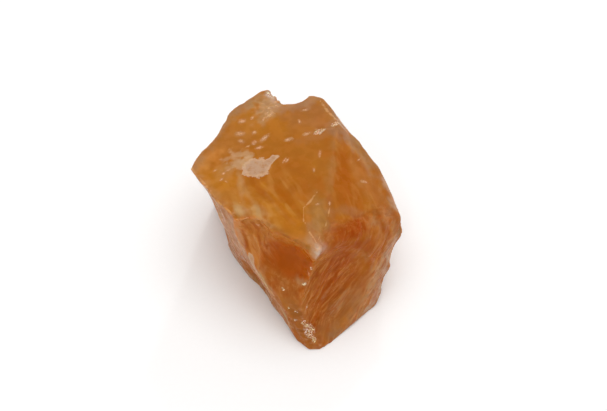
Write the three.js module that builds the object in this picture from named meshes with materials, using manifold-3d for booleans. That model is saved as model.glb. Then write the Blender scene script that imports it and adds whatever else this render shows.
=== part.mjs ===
// A hand-sized piece of raw orange calcite: one broken cleavage block that stands on its flat lower face.
// Units are millimetres and +Z is up. Front is -Y, where the brow overhangs the front ridge and its toe.
// The block starts as the hull of its outer corners. Shell-shaped scars and missing cleavage blocks are
// then cut out of it, as knocks took them out of the real stone.
import * as THREE from "three";
import { ConvexGeometry } from "three/addons/geometries/ConvexGeometry.js";
import { mergeVertices } from "three/addons/utils/BufferGeometryUtils.js";
import Module from "manifold-3d";

const wasm = await Module();
wasm.setup();

const point = (x, y, z) => new THREE.Vector3(x, y, z);

// ---- Driving dimensions ---------------------------------------------------------------------------

// The upper face is nearly level. Its rim is named clockwise from the brow, seen from above.
const rim = {
  brow: point(4.7, -20.4, 34.7),
  leftBrow: point(-14, -11, 33.8),
  leftShoulder: point(-20.8, -3, 33.5),
  leftHorn: point(-26, 5.2, 33.2),
  leftHornFar: point(-25, 8.6, 33.2),
  farLeftRim: point(-16.8, 25, 33.7),
  farLeftCorner: point(-11.6, 29.3, 34),
  farPeak: point(-8.4, 32, 34.4),
  farCrest: point(2.8, 29, 34.6),
  farRightCrest: point(6.2, 28.7, 34.8),
  farRightRim: point(8, 25.8, 34.8),
  ridgeTop: point(10, 19, 35),
  ridgeBend: point(8.6, -5.5, 34.5),
};

// The roof falls from the ridge to this eave, and ends at the right horn.
const eave = {
  eaveTop: point(10.8, 20.5, 33.7),
  eaveFar: point(16.5, 14.7, 30.8),
  eaveMiddle: point(20.4, 10.4, 28.1),
  eaveNear: point(23.3, 4.1, 25.9),
  rightHorn: point(25.8, -2.7, 24),
  rightHip: point(26, -4, 20),
};

const flanks = {
  leftKnee: point(-10, -10.5, 12),
  rightKnee: point(23.6, -4.7, 9),
  rightAnkle: point(21.3, -10.8, 3.5),
  farRightEdge: point(17, 27, 14),
};

// The flat face that the stone rests on, named clockwise from the toe.
const base = {
  toe: point(3, -25.6, 0),
  toeLeft: point(0, -22.8, 0),
  leftToe: point(-2.4, -18.2, 0),
  leftFoot: point(-12.8, -2.7, 0),
  leftInstep: point(-16.8, 3.6, 0),
  leftSide: point(-18.8, 9, 0),
  farLeftSide: point(-22.3, 23, 0),
  farLeft: point(-16, 33.5, 0),
  farMiddle: point(-2, 35.5, 0),
  farRight: point(16, 30, 0),
  rightSide: point(22.5, 6, 0),
  rightHeel: point(19.2, -12.8, 0),
  toeRight: point(12.6, -19.4, 0),
  toeMiddle: point(8.4, -23.4, 0),
  toeTip: point(5.8, -25.4, 0),
};

// Shell-shaped scars: where each is deepest, which way it faces, the radius of its curve, and its depth.
const frontFacing = point(-0.45, -0.883, 0.132);
const rightFacing = point(0.67, -0.735, 0.105);
const scars = [
  // the deep hollow under the brow, the shallow one to its left, and the bite above that one
  { at: point(-3.3, -17.7, 24.8), facing: frontFacing, radius: 15, depth: 3.3 },
  { at: point(-10, -13.6, 26), facing: point(-0.6, -0.78, 0.05), radius: 17, depth: 1.8 },
  { at: point(-10.9, -10, 31), facing: point(0, -1, 0), radius: 5.3, depth: 0 },
  // the wide scoop that bends the front ridge
  { at: point(6.2, -21.6, 17), facing: rightFacing, radius: 30, depth: 4 },
  // the leaf-shaped chip on the ridge behind the brow
  { at: point(6.3, -12, 34.7), facing: point(0.4, -0.1, 0.91), radius: 30, depth: 1.3 },
  // the notch in the far rim, and the wide shell that broke away below it
  { at: point(-1.7, 26.3, 33), facing: point(0, 1, 0), radius: 5.4, depth: 0.2 },
  { at: point(-1.5, 31.9, 23.5), facing: point(0.15, 0.98, 0.05), radius: 20, depth: 3.1 },
  // the undercut below the left horn, and dents down the left foot
  { at: point(-22.4, 7.1, 18.5), facing: point(-0.93, -0.28, -0.24), radius: 36, depth: 2.8 },
  { at: point(-20.8, -0.9, 28), facing: point(-0.83, -0.53, -0.2), radius: 22, depth: 0.8 },
  { at: point(-19.3, 7.2, 6), facing: point(-0.93, -0.3, 0.15), radius: 20, depth: 0.6 },
  { at: point(-4.4, -17, 2.6), facing: point(-0.83, -0.53, 0), radius: 25, depth: 0.5 },
  { at: point(-15.2, -1, 3), facing: point(-0.85, -0.5, -0.1), radius: 6, depth: 0.8 },
  { at: point(-9.5, -7.8, 2), facing: point(-0.83, -0.55, 0), radius: 18, depth: 0.9 },
  // two shallow dents in the far-left rim
  { at: point(-21, 15, 33.6), facing: point(-0.85, 0.5, 0.1), radius: 16, depth: 0.3 },
  { at: point(-18.7, 21.1, 33.6), facing: point(-0.85, 0.5, 0.1), radius: 4, depth: 0.5 },
  // two dents down the right edge
  { at: point(24.5, -4.4, 12.8), facing: point(1, -0.2, 0), radius: 8, depth: 1.3 },
  { at: point(22.4, -8, 6), facing: point(0.95, -0.3, -0.1), radius: 7, depth: 0.9 },
  // two wide, shallow shells on the wall below the eave
  { at: point(19.8, 16, 12), facing: point(0.95, 0.3, 0.05), radius: 34, depth: 1.1 },
  { at: point(22, 7, 8), facing: point(0.97, 0.2, -0.1), radius: 20, depth: 0.9 },
];

// Cleavage blocks missing from the hidden walls, which broke in stairs. Each block starts from a point on
// its tread and runs between two lengths along each of the crystal's three directions.
const beyond = 60;
const missingBlocks = [
  // the far wall: a tall missing block, a thin one above it and a low one across the foot
  { tread: point(4, 28.5, 26), left: [-beyond, 4], right: [0, beyond], down: [-beyond, 0] },
  { tread: point(4, 28.6, 12.5), left: [-beyond, 9], right: [0, beyond], down: [-beyond, 0] },
  { tread: point(4, 32.6, 4), left: [-beyond, beyond], right: [0, beyond], down: [-beyond, 0] },
  // the far-left wall: a deep corner, and a thin flake below it
  { tread: point(-16.2, 24.6, 17.5), left: [0, beyond], right: [-beyond, 6], down: [-beyond, 0] },
  { tread: point(-17, 27.6, 7), left: [0, beyond], right: [-beyond, beyond], down: [-beyond, 0] },
];

// ---- Making solids --------------------------------------------------------------------------------

function solid(shape) {
  const bare = shape.clone();
  bare.deleteAttribute("normal");
  bare.deleteAttribute("uv");
  const merged = mergeVertices(bare, 1e-4);
  const { position } = merged.attributes;
  const triVerts = new Uint32Array(merged.index.array);
  return new wasm.Manifold(new wasm.Mesh({ numProp: 3, vertProperties: position.array, triVerts }));
}

// The ball whose cap makes one scar. Its far point lies `depth` under the surface.
const ballDetail = 7;

function scarBall({ at, facing, radius, depth }) {
  const outward = facing.clone().normalize();
  const centre = at.clone().addScaledVector(outward, radius - depth);
  const ball = new THREE.IcosahedronGeometry(radius, ballDetail);
  ball.translate(centre.x, centre.y, centre.z);
  return solid(ball);
}

// Three cleavage faces meet at the brow, so the edges between them give the crystal's three directions.
const alongLeft = rim.leftBrow.clone().sub(rim.brow).normalize();
const alongRight = point(0.735, 0.67, 0.02).normalize();
const alongRidge = base.toe.clone().sub(rim.brow).normalize();

function cleavageBlock({ tread, left, right, down }) {
  const corners = [];
  for (const l of left) {
    for (const r of right) {
      for (const d of down) {
        const end = tread.clone();
        end.addScaledVector(alongLeft, l);
        end.addScaledVector(alongRight, r);
        end.addScaledVector(alongRidge, d);
        corners.push(end);
      }
    }
  }
  return solid(new ConvexGeometry(corners));
}

// ---- The stone ------------------------------------------------------------------------------------

const outerCorners = [rim, eave, flanks, base].flatMap((part) => Object.values(part));
const cuts = [...scars.map(scarBall), ...missingBlocks.map(cleavageBlock)];
const stone = cuts.reduce((rest, cut) => rest.subtract(cut), solid(new ConvexGeometry(outerCorners)));

const { vertProperties, triVerts } = stone.getMesh();
const stoneGeometry = new THREE.BufferGeometry();
stoneGeometry.setAttribute("position", new THREE.BufferAttribute(vertProperties, 3));
stoneGeometry.setIndex(new THREE.BufferAttribute(triVerts, 1));
stoneGeometry.computeVertexNormals();

const calciteMaterial = new THREE.MeshStandardMaterial({ color: 0xb96f27, roughness: 0.3, metalness: 0 });
const calcite = new THREE.Mesh(stoneGeometry, calciteMaterial);
calcite.name = "calcite";

// The origin is under the middle of the stone's box, at table height.
stoneGeometry.computeBoundingBox();
const middle = stoneGeometry.boundingBox.getCenter(new THREE.Vector3());
calcite.position.set(-middle.x, -middle.y, 0);

const specimen = new THREE.Group();
specimen.add(calcite);
export default specimen;
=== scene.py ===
# %% [markdown]
# # A raw piece of orange calcite
# The object is one broken lump of orange calcite, about 52 mm wide, with no added parts.
# Calcite splits along three slanting planes, so a broken lump has a few broad faces with
# steps, fibres and small chips on them. The CAD solid gives the broad faces. This lesson
# lays an even skin of small faces over that solid, moves the skin as a sculptor would,
# paints it in zones, and gives it one translucent stone material. The work on the skin is
# in mm, because the stone's details are a millimetre or less.

# %% Open the frame
import math

import bmesh
import bpy
import numpy as np
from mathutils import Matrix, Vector, noise


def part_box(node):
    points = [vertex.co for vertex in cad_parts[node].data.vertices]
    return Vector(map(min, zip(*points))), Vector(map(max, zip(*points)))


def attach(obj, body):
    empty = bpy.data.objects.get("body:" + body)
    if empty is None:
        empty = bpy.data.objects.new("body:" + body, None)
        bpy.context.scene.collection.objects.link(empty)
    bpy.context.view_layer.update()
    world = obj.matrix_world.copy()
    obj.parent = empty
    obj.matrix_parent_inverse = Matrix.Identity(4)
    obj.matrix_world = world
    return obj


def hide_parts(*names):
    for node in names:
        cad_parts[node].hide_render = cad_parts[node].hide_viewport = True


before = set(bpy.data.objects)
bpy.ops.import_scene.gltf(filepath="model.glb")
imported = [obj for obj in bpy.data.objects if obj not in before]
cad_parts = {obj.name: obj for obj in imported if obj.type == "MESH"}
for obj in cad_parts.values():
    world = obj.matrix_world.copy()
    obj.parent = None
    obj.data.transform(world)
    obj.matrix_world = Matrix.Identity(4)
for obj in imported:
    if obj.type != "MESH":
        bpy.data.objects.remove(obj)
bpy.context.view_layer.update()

MM = 0.001
LOW, HIGH = (np.array(corner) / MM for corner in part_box("calcite"))
print("stone box in mm:", np.round(HIGH - LOW, 1))


def smooth_step(value, start, end):
    """0 before start, 1 after end, and a soft curve between them."""
    share = np.clip((value - start) / (end - start), 0.0, 1.0)
    return share * share * (3.0 - 2.0 * share)


def unit(direction):
    """The same direction with a length of one."""
    direction = np.array(direction, dtype=float)
    return direction / np.linalg.norm(direction)


def put(name, data):
    """Makes an object of a mesh, a lamp or a camera, and puts it in the scene."""
    made = bpy.data.objects.new(name, data)
    bpy.context.scene.collection.objects.link(made)
    return made


# %% [markdown]
# ## The skin
# A CAD solid has few, large triangles, and its corners are loose. A sculptor needs small
# faces of one size, so that a dent can go anywhere. Subdividing would keep the long thin
# triangles. A voxel remesh wraps the solid in even quads instead, and rounds every edge
# by about one voxel, as wear does on a soft mineral.

# %% Wrap the solid in an even skin
SKIN_CELL = 0.36 * MM
SAME_CORNER = 0.001 * MM

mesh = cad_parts["calcite"].data.copy()
stone = put("calcite_lump", mesh)
shell = bmesh.new()
shell.from_mesh(mesh)
bmesh.ops.remove_doubles(shell, verts=shell.verts, dist=SAME_CORNER)
shell.to_mesh(mesh)
shell.free()

wrap = stone.modifiers.new("even skin", "REMESH")
wrap.mode = "VOXEL"
wrap.voxel_size = SKIN_CELL
depsgraph = bpy.context.evaluated_depsgraph_get()
skin = bpy.data.meshes.new_from_object(stone.evaluated_get(depsgraph))
stone.modifiers.clear()
stone.data = skin
bpy.data.meshes.remove(mesh)
skin.name = "calcite_lump"
print("skin:", len(skin.vertices), "corners and", len(skin.polygons), "faces")

# %% Read and write the skin as rows of numbers
corners = len(skin.vertices)
pairs = np.empty(2 * len(skin.edges), dtype=np.int32)
skin.edges.foreach_get("vertices", pairs)
pairs = pairs.reshape(-1, 2)
both_ways = np.concatenate((pairs, pairs[:, ::-1]))
neighbours = np.bincount(both_ways[:, 0], minlength=corners)


def read_points():
    """Every corner of the skin, in mm."""
    values = np.empty(3 * corners)
    skin.vertices.foreach_get("co", values)
    return values.reshape(-1, 3) / MM


def read_normals():
    """The outward direction at every corner."""
    values = np.empty(3 * corners)
    skin.vertices.foreach_get("normal", values)
    return values.reshape(-1, 3)


def write_points(moved):
    """Puts the corners back inside the stone's box, with the foot flat on the floor."""
    moved = np.clip(moved, LOW, HIGH)
    moved[foot, 2] = 0.0
    skin.vertices.foreach_set("co", (moved * MM).ravel())
    skin.update()


def around(values):
    """The mean of each corner's neighbours."""
    start, end = both_ways.T
    if values.ndim == 1:
        return np.bincount(start, values[end], corners) / neighbours
    columns = [np.bincount(start, column[end], corners) for column in values.T]
    return np.stack(columns, axis=1) / neighbours[:, None]


def soften(values, rounds):
    """Spreads values over the skin, a little further with each round."""
    for _ in range(rounds):
        values = 0.5 * values + 0.5 * around(values)
    return values


# one row for each corner: its place across, deep and up, in mm
FOOT_HEIGHT = 0.12
EVEN_ROUNDS = 3
points = read_points()
foot = points[:, 2] < FOOT_HEIGHT
write_points(soften(points, EVEN_ROUNDS))
points = read_points()
print("corners on the foot:", foot.sum())

# %% [markdown]
# ## Wear
# Two kinds of wear come before any fine relief. The long edge between the sloping roof and
# the right wall was rubbed round, so it is softened many times over while the rest stays
# sharp. The other edges were nibbled: calcite is soft and brittle. Each nibble is a ball
# taken out of the skin, where the corners inside the ball are pushed out onto its surface.
# The places are drawn from the sharpest corners with a fixed seed, so that every run gives
# the same stone.

# %% Round the long edge
# the two ends of the edge, and how wide the rub is: full within 2 mm, none beyond 6 mm
BROW = np.array((4.7, -25.4, 34.7))
HORN = np.array((25.8, -7.7, 24.0))
RUB_WIDTH = (2.0, 6.0)
RUBS, RUB_STRENGTH = 110, 0.6
edge_way = unit(HORN - BROW)
edge_length = np.linalg.norm(HORN - BROW)
edge_run = (points - BROW) @ edge_way
edge_gap = np.linalg.norm(points - BROW - np.outer(edge_run, edge_way), axis=1)
worn = 1.0 - smooth_step(edge_gap, *RUB_WIDTH)
worn *= smooth_step(edge_run, 0.5, 4.5) * smooth_step(edge_length - edge_run, -1.0, 4.0)
for _ in range(RUBS):
    points += RUB_STRENGTH * worn[:, None] * (around(points) - points)
write_points(points)
points = read_points()
print("rubbed edge: %.1f mm long" % edge_length)


# %% Nibble the sharp edges
def outward():
    """The direction in which each corner faces, evened out over its neighbours."""
    facing = soften(read_normals(), 6)
    return facing / np.linalg.norm(facing, axis=1)[:, None]


def stand_out(rounds):
    """How far each corner stands proud of the skin around it, in mm."""
    return ((points - soften(points, rounds)) * calm).sum(axis=1)


def nibble(centre, radius, depth):
    """Takes a ball out of the skin, unless the ball would bite into more than this edge."""
    away = points - centre
    reach = np.linalg.norm(away, axis=1)
    facing_ball = (away * calm).sum(axis=1) < 0.0
    inside = (reach < radius) & facing_ball
    if inside.any() and radius - reach[inside].min() < 2.0 * depth:
        points[inside] = centre + away[inside] / reach[inside, None] * radius


# sizes in mm; an edge is sharp when it stands out by more than SHARP_EDGE
NIBBLES = 90
NIBBLE_RADIUS = (1.4, 5.0)
NIBBLE_DEPTH = (0.08, 0.26)
SHARP_EDGE = 0.16
EDGE_ROUNDS = 12
calm = outward()
dice = np.random.default_rng(7)
edge = stand_out(EDGE_ROUNDS)
sharp = np.flatnonzero((edge > SHARP_EDGE) & (points[:, 2] > 1.5))
for place in dice.choice(sharp, NIBBLES, replace=False):
    radius = dice.uniform(*NIBBLE_RADIUS)
    depth = dice.uniform(*NIBBLE_DEPTH)
    out = unit(calm[place] + 0.3 * dice.normal(size=3))
    nibble(points[place] + out * (radius - depth), radius, depth)
write_points(points)
points = read_points()
calm = outward()
above_foot = smooth_step(points[:, 2], 0.2, 1.8)
print("sharp corners:", len(sharp), "edge stands out up to %.2f mm" % edge.max())

# %% [markdown]
# ## Noise, faces and patches
# A few helpers place every mark. Noise gives natural unevenness, and it can be stretched
# along a grain so that it turns into fibres. A face is picked by the way it looks. An oval
# or a stroke is a soft-edged mark at places in the stone's box, given as fractions, so that
# the marks would follow the stone if its size were changed.

# %% Helpers for noise and faces
SEED_SHIFT = np.array((31.7, 17.3, 47.1))
OCTAVE_FADE, OCTAVE_ZOOM, SPREAD = 0.8, 2.0, 1.6


def wander(size, seed, octaves=3, grain=None, stretch=1.0):
    """Smooth noise over the skin, about -1 to 1, with lumps of that size in mm."""
    where = points / size
    if grain is not None:
        grain = unit(grain)
        run = where @ grain
        where = where - np.outer(run * (1.0 - 1.0 / stretch), grain)
    where = where + SEED_SHIFT * seed
    values = [noise.fractal(Vector(p), OCTAVE_FADE, OCTAVE_ZOOM, octaves) for p in where.tolist()]
    return np.array(values) * SPREAD


def looks(direction, start=0.88, end=0.96):
    """1 on the faces that look in that direction."""
    return smooth_step(calm @ unit(direction), start, end)


# %% Helpers for marks
def spot(across, deep, up):
    """The place on the skin nearest to a point given as fractions of the stone's box."""
    aim = LOW + np.array((across, deep, up)) * (HIGH - LOW)
    return points[np.argmin(((points - aim) ** 2).sum(axis=1))]


def oval(place, along, half_length, half_width):
    """1 at the middle of an oval, 0 on its rim and below 0 outside it."""
    away = points - spot(*place)
    run = away @ unit(along)
    rest = np.sqrt(np.maximum((away ** 2).sum(axis=1) - run ** 2, 0.0))
    return 1.0 - np.sqrt((run / half_length) ** 2 + (rest / half_width) ** 2)


def stroke(half_width, *places):
    """1 on a line through several places, 0 at half a width from it."""
    stops = [spot(*place) for place in places]
    nearest = np.full(len(points), np.inf)
    for start, end in zip(stops, stops[1:]):
        reach = end - start
        share = np.clip((points - start) @ reach / (reach @ reach), 0.0, 1.0)
        gap = np.linalg.norm(points - start - np.outer(share, reach), axis=1)
        nearest = np.minimum(nearest, gap)
    return 1.0 - nearest / half_width


def patch(place, along, half_length, half_width, soft=0.7):
    """1 inside an oval on the skin, falling to 0 at its rim."""
    return smooth_step(oval(place, along, half_length, half_width), 0.0, soft)


# %% [markdown]
# ## The brow
# Over the hollow, the upper face ends in a thin brow. It is the weakest edge of the stone,
# so small shells broke off it one after another, and its line runs in short curves. A
# bevel would make that line even, and a random draw might miss it. So a few more nibbles
# are taken from it at listed places.

# %% Small breaks along the brow over the hollow
BROW_LOOKS = unit((-0.4, -0.85, 0.45))
# (place in the box, radius and depth in mm)
breaks = (
    ((0.35, 0.205, 0.976), 1.3, 0.5), ((0.405, 0.18, 0.979), 1.7, 0.45),
    ((0.452, 0.15, 0.975), 1.2, 0.4), ((0.5, 0.122, 0.97), 1.5, 0.45),
    ((0.548, 0.102, 0.965), 1.1, 0.45), ((0.225, 0.262, 0.96), 1.4, 0.4),
)
for place, radius, depth in breaks:
    nibble(spot(*place) + BROW_LOOKS * (radius - depth), radius, depth)
write_points(points)
points = read_points()
calm = outward()
print("breaks along the brow:", len(breaks))

# %% [markdown]
# ## Faces and scars
# Every later step has to know which face a corner is on. The direction in which it looks
# tells the faces apart, with a soft border between them. The shell-shaped scars are parts
# of balls, so a corner is in a scar when it lies one radius from the ball's centre. What no
# face claims belongs to the hidden walls, or to the strips between the faces.

# %% Faces of the stone
UPPER = (-0.05, 0, 1)
ROOF = (0.52, -0.06, 0.85)
RIGHT_WALL = (0.67, -0.735, 0.1)
LEFT_WALL = (-0.83, -0.53, -0.2)
HOLLOW = (-0.45, -0.85, 0.15)

rubbed = smooth_step(worn, 0.2, 0.55)
on_upper = looks(UPPER, 0.955, 0.985)
on_roof = looks(ROOF, 0.92, 0.97) * (1.0 - rubbed)
on_right = np.maximum(looks(RIGHT_WALL, 0.86, 0.95), rubbed)
on_left = looks(LEFT_WALL, 0.9, 0.96)
in_hollow = patch((0.44, 0.17, 0.62), (0.2, -0.3, -1), 13.0, 8.5, 0.35)
in_hollow *= looks(HOLLOW, 0.7, 0.85)
at_tip = patch((0.52, 0.05, 0.22), (0.1, -0.3, -1), 11.0, 6.0, 0.5)
at_tip *= looks((-0.4, -0.85, 0.25), 0.6, 0.8)


def scar(middle, facing, radius, depth):
    """1 on the skin of a shell-shaped scar, as the solid has it, and 0 elsewhere."""
    centre = np.array(middle) + unit(facing) * (radius - depth)
    gap = np.abs(np.linalg.norm(points - centre, axis=1) - radius)
    return 1.0 - smooth_step(gap, 0.25, 0.55)


deep_scar = scar((-3.3, -22.65, 24.8), (-0.45, -0.883, 0.132), 15.0, 3.3)
left_scar = scar((-10.0, -18.55, 26.0), (-0.6, -0.78, 0.05), 17.0, 1.8)
bite = scar((-10.9, -14.95, 31.0), (0, -1, 0), 5.3, 0.0)
left_scar = np.maximum(left_scar, bite) * (1.0 - deep_scar)
on_left *= 1.0 - np.maximum(deep_scar, left_scar)
in_hollow = np.maximum(in_hollow, np.maximum(deep_scar, left_scar))
seen = np.clip(on_upper + on_roof + on_right + on_left + in_hollow + at_tip, 0, 1)
hidden = 1.0 - seen
print("faces with a name: %.0f%% of the skin" % (100.0 * seen.mean()))

# %% [markdown]
# ## Relief
# Each face broke in its own way. The upper face is one cleavage plane with faint waves. A
# leaf split off it near the front. The right wall tore into fibres, so it is covered with
# thin overlapping blades. The left wall is fluted from top to foot. The hidden walls broke
# in stairs. All of this could be a bump in the material only, but then the outline would
# stay smooth, so whatever is larger than a skin cell is moved for real.

# %% Directions of the break
GRAIN_RIGHT = (0.735, 0.67, 0.95)
GRAIN_LEFT = (0.36, -0.22, -0.9)
GRAIN_UPPER = (0.42, -0.9, 0)
GRAIN_BACK = (0.25, 0.15, 1)
GRAIN_RIB = (0.3, -0.25, -1)


def stairs(height, step, rise=0.25):
    """Turns a slope into flat treads with short risers."""
    level = height / step
    tread = np.floor(level)
    return (tread + smooth_step(level - tread, 0.5 - rise / 2, 0.5 + rise / 2)) * step


# %% Blades on the right wall, flutes on the left one, ribs in the hollow
blades = 0.16 * wander(1.4, 1, 2, GRAIN_RIGHT, 6.0) + 0.32 * wander(4.5, 2, 2, GRAIN_RIGHT, 2.2)
flutes = 0.14 * wander(2.0, 3, 2, GRAIN_LEFT, 9.0) + 0.2 * wander(6.0, 4, 2, GRAIN_LEFT, 4.0)
flutes -= 0.1
rib_zone = patch((0.33, 0.21, 0.8), GRAIN_RIB, 9.5, 4.8, 0.6) * in_hollow
ribs = 0.24 * wander(1.7, 5, 2, GRAIN_RIB, 7.0)
hollow_waves = 0.14 * wander(5.0, 12, 2)

# %% Waves and ledges on the upper face and the roof
leaf = patch((0.6, 0.235, 0.99), (0.1, -1, 0), 10.0, 3.3, 0.5)
leaf = leaf * looks((0.2, -0.05, 1), 0.85, 0.9)
flake = patch((0.225, 0.275, 0.96), (1, -0.35, 0), 3.4, 2.4, 0.15) * on_upper
waves = 0.08 * wander(8.0, 7, 2) + 0.03 * wander(2.8, 8, 2, GRAIN_UPPER, 3.0)
roof_waves = 0.14 * wander(6.0, 11, 2, (0.2, 1, -0.1), 2.5)
crumble = np.maximum.reduce([
    patch((0.36, 0.86, 0.98), (0.5, 0.8, 0), 7.0, 4.0, 0.6),
    patch((0.62, 0.7, 1), (0.9, 0.4, 0), 4.5, 1.6, 0.6),
    patch((0.57, 0.03, 0.12), (-0.1, 0.3, 1), 4.5, 2.6, 0.6),
    0.8 * patch((0.53, 0.09, 0.6), (0, -0.3, -1), 8.0, 2.4, 0.6),
])
ripples = 0.22 * wander(1.0, 15, 2, (1, 0.1, 0.25), 5.0)
crumbs = stairs(0.35 * wander(1.6, 14, 2), 0.2, 0.3)

# %% Waves and hackles on the hidden walls
below_rim = smooth_step(HIGH[2] - points[:, 2], 0.8, 3.0)
back_waves = 0.16 * wander(6.0, 6, 2, GRAIN_BACK, 1.5)
hackles = 0.09 * wander(1.7, 10, 2, GRAIN_BACK, 4.0) * smooth_step(wander(7.0, 13, 2), -0.2, 0.5)

notch = patch((0.467, 0.89, 0.9), (0, 0, 1), 7.5, 6.5, 0.5) * hidden
notch_lumps = 0.35 * wander(2.6, 16, 3, GRAIN_BACK, 2.5)

lift = (on_right * blades + on_left * flutes + rib_zone * ribs
        + on_upper * waves + on_roof * roof_waves - 0.25 * leaf + 0.14 * flake
        + in_hollow * (1.0 - rib_zone) * hollow_waves + crumble * crumbs + at_tip * ripples
        + hidden * below_rim * (back_waves + hackles) + notch * below_rim * notch_lumps)
points = points + calm * (lift * above_foot)[:, None]

# %% [markdown]
# ## Steps on the hidden walls
# Where calcite breaks across its cleavage it leaves stairs, with straight risers. Noise cut
# into levels would give curved contours, as on a map. So the steps are a sawtooth along one
# direction, or two on the larger walls, and noise only bends them a little and decides
# where they show.

# %% Straight steps on the hidden walls
def steps(across, width, rise, seed):
    """Flat treads that sink a little, with a straight riser at the end of each."""
    level = points @ unit(across) / width + 0.22 * wander(18.0, seed, 2)
    tread = np.floor(level)
    share = level - tread
    size = rise * (0.6 + 0.4 * np.sin(12.9 * tread + seed))
    return size * (share - smooth_step(share, 0.9, 1.0))


# (the way the wall looks, the way across its steps, their width and their rise in mm)
stepped_walls = (
    ((0.45, 0.89, 0.06), (-0.87, 0.44, 0.25), 5.5, 0.7),
    ((0.45, 0.89, 0.06), (0.15, -0.1, 1), 8.5, 0.6),
    ((-0.72, 0.69, 0.08), (0.66, 0.7, 0.28), 4.5, 0.6),
    ((-0.72, 0.69, 0.08), (-0.15, -0.15, 1), 7.5, 0.5),
    ((0.93, 0.33, 0.04), (-0.3, 0.9, 0.35), 6.0, 0.45),
)
for number, (facing, across, width, rise) in enumerate(stepped_walls):
    where = looks(facing, 0.84, 0.92) * smooth_step(wander(10.0, 40 + number, 2), -0.4, 0.1)
    where *= hidden * above_foot * below_rim
    points = points - calm * (steps(across, width, rise, number) * where)[:, None]

# %% [markdown]
# ## Nudges
# A sculptor steps back at the end and looks at the outline. A few places need to go in or
# out by less than a millimetre. Each is pushed as a soft oval, which leaves no edge.

# %% Nudges that even out the outline
# (place in the box, push, its size in mm, direction it runs, half length, half width in mm)
nudges = (
    ((0.117, 0.585, 0.13), (0.93, 0.3, 0), 0.7, (0.25, -0.95, 0), 9.0, 6.0),
    ((0.09, 0.665, 0.17), (0.93, 0.3, 0), 0.45, (0.25, -0.95, 0), 7.0, 6.0),
    ((0.416, 0.157, 0.01), (0.87, 0.46, 0), 0.55, (0.6, -0.8, 0), 9.0, 3.5),
    ((0.388, 0.884, 0.975), (0.95, 0.3, 0), 0.8, (0.5, -0.8, 0), 4.0, 3.0),
    ((0.37, 0.915, 0.98), (-0.2, -0.95, -0.1), 0.35, (0.8, -0.5, 0), 2.4, 1.8),
    ((0.905, 0.33, 0.283), (-0.95, 0.1, 0), 0.2, (0.1, 0.3, 1), 5.0, 3.0),
    ((0.886, 0.23, 0.043), (0.9, -0.4, 0), 0.4, (0.5, 0.8, 0), 4.0, 3.0),
    ((0.73, 0.761, 0.938), (-0.8, -0.4, -0.4), 0.45, (0.5, -0.85, 0), 6.0, 3.0),
)
for place, push, size, *shape in nudges:
    points = points + size * np.outer(patch(place, *shape, 1.0), unit(push))
write_points(points)
points = read_points()
print("relief from %.2f to %.2f mm" % (lift.min(), lift.max()))

# %% [markdown]
# ## Paint
# The colour of orange calcite changes inside one lump: honey where it is clear, rust where
# it is thick or iron-rich, sand and cloud where tiny cracks scatter the light. Zones larger
# than a skin cell are painted on the corners of the mesh, as a tint. Crisp marks are left
# as soft fields, and the material cuts them sharp with its own fine noise. The painter
# works as with thin washes: first the whole stone, then each face, then zones and bands.

# %% Colours
def mixed(red, green, blue):
    """A colour of 0 to 255 a channel, as the light values that the painter and shader use."""
    channel = np.array((red, green, blue)) / 255.0
    return np.where(channel <= 0.04045, channel / 12.92, ((channel + 0.055) / 1.055) ** 2.4)


AMBER = mixed(163, 99, 26)
HONEY = mixed(175, 110, 26)
EMBER = mixed(158, 82, 0)
RUST = mixed(150, 66, 0)
SIENNA = mixed(160, 88, 20)
SAND = mixed(178, 138, 96)
ROSE = mixed(176, 136, 106)
CLOUD = mixed(186, 156, 132)
OLIVE = mixed(156, 110, 54)
CREAM = mixed(188, 160, 112)
BRICK = mixed(163, 77, 6)
COPPER = mixed(185, 113, 44)
TAWNY = mixed(170, 110, 54)
EDGE = mixed(152, 110, 72)
# a pale tone for the outer edges, partly a painted sheen
PALE_EDGE_SHEEN = mixed(188, 160, 138)
UMBER = mixed(138, 82, 36)
APRICOT = mixed(196, 132, 64)
# a near white, used for a painted highlight
PAINTED_HIGHLIGHT_WHITE = mixed(226, 204, 192)
HAZE = mixed(190, 156, 118)
DUST = mixed(150, 112, 84)


# %% The brush and the drift of the colour
def brush(tint, colour, amount):
    """Lays a colour over the tint where amount is above 0."""
    amount = np.clip(amount, 0.0, 1.0)[:, None]
    return tint * (1.0 - amount) + colour * amount


drift = wander(11.0, 20, 3)
drift_fine = wander(4.0, 21, 3)
ragged_rim = 0.2 * drift_fine + 0.22 * wander(1.3, 46, 3)
fibrous = soften(on_right, 14)

# %% First washes, over the whole stone and its hidden walls
height_up = points[:, 2]
tint = np.tile(AMBER, (corners, 1))
for shade, amount in (
        (HONEY, 0.5 * smooth_step(drift, -0.1, 0.7)),
        (EMBER, 0.35 * smooth_step(-drift, 0.0, 0.7)),
        (SIENNA, hidden * 0.7 * smooth_step(wander(9.0, 22, 3), -0.3, 0.6)),
        (RUST, hidden * 0.6 * smooth_step(wander(7.0, 27, 2), 0.1, 0.7)),
        (SAND, hidden * 0.35 * smooth_step(wander(2.6, 44, 3, GRAIN_BACK, 4.0), 0.0, 0.8)),
        (HONEY, hidden * 0.7 * smooth_step(height_up, 26.0, 34.0))):
    tint = brush(tint, shade, amount)

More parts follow.
